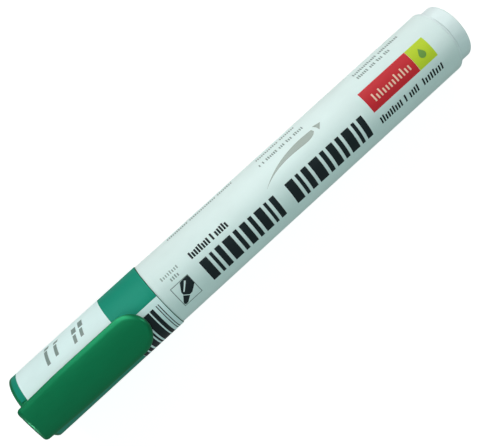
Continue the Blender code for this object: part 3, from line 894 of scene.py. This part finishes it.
def print_cap_panel():
    """A white panel on the cap's left side, rounded at the closed end, with plain marks on it."""
    low = 14.0 * DEGREE
    high = 118 * DEGREE
    front = -12.05
    back = -37.4
    corner = 1.2
    panel = [(front, low), (front, high)]
    panel += arc(back + corner, high - corner, corner, 90, 180, steps=6)
    panel += arc(back + corner, low + corner, corner, 180, 270, steps=6)
    on_cap("cap_panel", [panel], panel_print)
    marks = []
    strokes = ((-28.9, 47, 76, 86), (-26.2, 50, 72, 80), (-21.1, 44, 58, 72), (-19.0, 46, 60, 76))
    for x, start, split, end in strokes:
        marks.append(bar(x - 0.4, start * DEGREE, 0.9, (split - start) * DEGREE, 0.5))
        marks.append(bar(x + 0.1, (split + 3) * DEGREE, 1.3, (end - split - 3) * DEGREE, 0.3))
    on_cap("cap_marks", marks, grey_print, above=OVERPRINT)


def print_cap_bars():
    """A white block on the cap's right side with a made-up pattern of bars round the cap."""
    low = -112 * DEGREE
    high = 14.4 * DEGREE
    back = -12.3
    film_end = (CAP_FILM_TO - SHOULDER) / MM
    inset = 0.03
    on_cap("cap_block", [bar(back, low, film_end - inset - back, high - low)], panel_print)
    bars_low = low + 4
    bars_high = 4.0 * DEGREE
    bars = []
    x = -1.35
    widths = (0.22, 0.22, 1.0, 1.9, 0.5, 1.5, 1.0, 1.2)
    gaps = (0.38, 0.85, 0.35, 0.45, 0.4, 0.5, 0.4, 0.4)
    for width, gap in zip(widths, gaps):
        x -= width
        bars.append(bar(x, bars_low, width, bars_high - bars_low))
        x -= gap
    on_cap("cap_bars", bars, black_print, above=OVERPRINT)


# ---------------------------------------------------------------- stage, light and camera

LAMP_DISTANCE = 0.6   # from the middle of the marker


def make_floor():
    """A wide pale floor that sweeps up into a wall all round. It is seen, but throws no light back."""
    flat = 5.0
    sweep = 2.0
    sides = 64
    section = [(0, 0)] + arc(flat, sweep, sweep, -90, 0) + [(flat + sweep, 4 * sweep)]
    mesh = bmesh.new()
    centre = mesh.verts.new((0, 0, 0))
    angles = [2 * math.pi * side / sides for side in range(sides)]
    rings = []
    for radius, height in section[1:]:
        around = [(radius * math.cos(a), radius * math.sin(a)) for a in angles]
        rings.append([mesh.verts.new((x, y, height)) for x, y in around])
    for side in range(sides):
        after = (side + 1) % sides
        mesh.faces.new((centre, rings[0][side], rings[0][after]))
        for low, high in zip(rings, rings[1:]):
            mesh.faces.new((low[side], high[side], high[after], low[after]))
    finish = Finish("pale_floor", (0.42, 0.42, 0.42), 0.9)
    finish.tone(finish.ramp(finish.noise(60 * MM), 0.3, 0.7), (0.40, 0.41, 0.41))
    floor = link("floor", mesh, finish.done(Emission_Color=(1, 1, 1, 1), Emission_Strength=0.82))
    floor.visible_diffuse = False
    floor.visible_glossy = False


def light(name, energy, color, toward, size):
    """A round lamp that shines on the middle of the marker from this direction."""
    data = bpy.data.lights.new(name, "AREA")
    data.energy = energy
    data.color = color
    data.shape = "DISK"
    data.size = size
    lamp = bpy.data.objects.new(name, data)
    way = Vector(toward).normalized()
    lamp.location = Vector((0, 0, AXIS_Z)) + LAMP_DISTANCE * way
    lamp.rotation_euler = way.to_track_quat("Z", "Y").to_euler()
    lamp.visible_camera = False
    bpy.context.scene.collection.objects.link(lamp)
    return lamp


def make_lights():
    """Soft light from the +Y side, weaker light from above and from the -Y side, three lamps that
    are seen only as glints on the plastic, and a pale surround."""
    light("key", 3.0, (1.0, 0.92, 0.92), (0.1, 1.0, 0.36), 0.5)
    light("overhead", 0.95, (0.72, 1.0, 0.98), (-0.2, -0.1, 1.0), 0.9)
    light("fill", 0.42, (0.7, 1.0, 0.92), (0.0, -1.0, 0.4), 0.8)
    glints = (
        ("tail_glint", 0.9, (0.85, 0.12, 0.45), 0.1),
        ("root_glint", 1.2, (-0.9, -0.2, 0.4), 0.1),
        ("clip_glint", 2.0, (0.0, 0.66, 0.75), 0.35),
    )
    for name, energy, toward, size in glints:
        glint = light(name, energy, (1.0, 1.0, 1.0), toward, size)
        glint.visible_diffuse = False
    world = bpy.data.worlds.new("surround")
    world.use_nodes = True
    background = world.node_tree.nodes["Background"]
    background.inputs["Color"].default_value = (0.9, 1.0, 0.98, 1)
    background.inputs["Strength"].default_value = 0.30
    bpy.context.scene.world = world


def make_camera():
    """The camera stands over the barrel just behind the cap's mouth, a little to +Y, and is rolled
    so that the marker runs from the lower left to the upper right of the picture."""
    lean = math.radians(13.7)
    roll_angle = math.radians(42.33)
    distance = 174.3 * MM
    aim_along = 13.27 * MM
    aim_aside = 0.59 * MM
    foot = Vector((MOUTH + 12.7 * MM, 0, AXIS_Z))
    outward = Vector((0, math.sin(lean), math.cos(lean)))
    place = foot + distance * outward
    target = foot + Vector((aim_along, -aim_aside * math.cos(lean), aim_aside * math.sin(lean)))
    data = bpy.data.cameras.new("camera")
    data.lens = 53.6
    data.sensor_width = 36
    data.clip_start = 0.01
    data.clip_end = 10
    camera = bpy.data.objects.new("camera", data)
    forward = (target - place).normalized()
    along = Vector((1, 0, 0))
    flat = (along - along.dot(forward) * forward).normalized()
    right = Matrix.Rotation(roll_angle, 3, forward) @ flat
    up = right.cross(forward)
    camera.matrix_world = Matrix.Translation(place) @ Matrix((right, up, -forward)).transposed().to_4x4()
    bpy.context.scene.collection.objects.link(camera)
    bpy.context.scene.camera = camera


def main():
    make_cap()
    make_clip()
    make_cap_film()
    make_inner_cap()
    make_barrel()
    make_barrel_film()
    make_nib_holder()
    make_nib()
    make_reservoir()
    make_reservoir_wrap()
    make_tail_plug()
    print_black_rows()
    print_grey_rows()
    print_nib_sign()
    print_grey_arc()
    print_colour_panel()
    print_cap_panel()
    print_cap_bars()
    make_floor()
    make_lights()
    make_camera()
    bpy.context.scene.view_settings.view_transform = "Standard"


main()
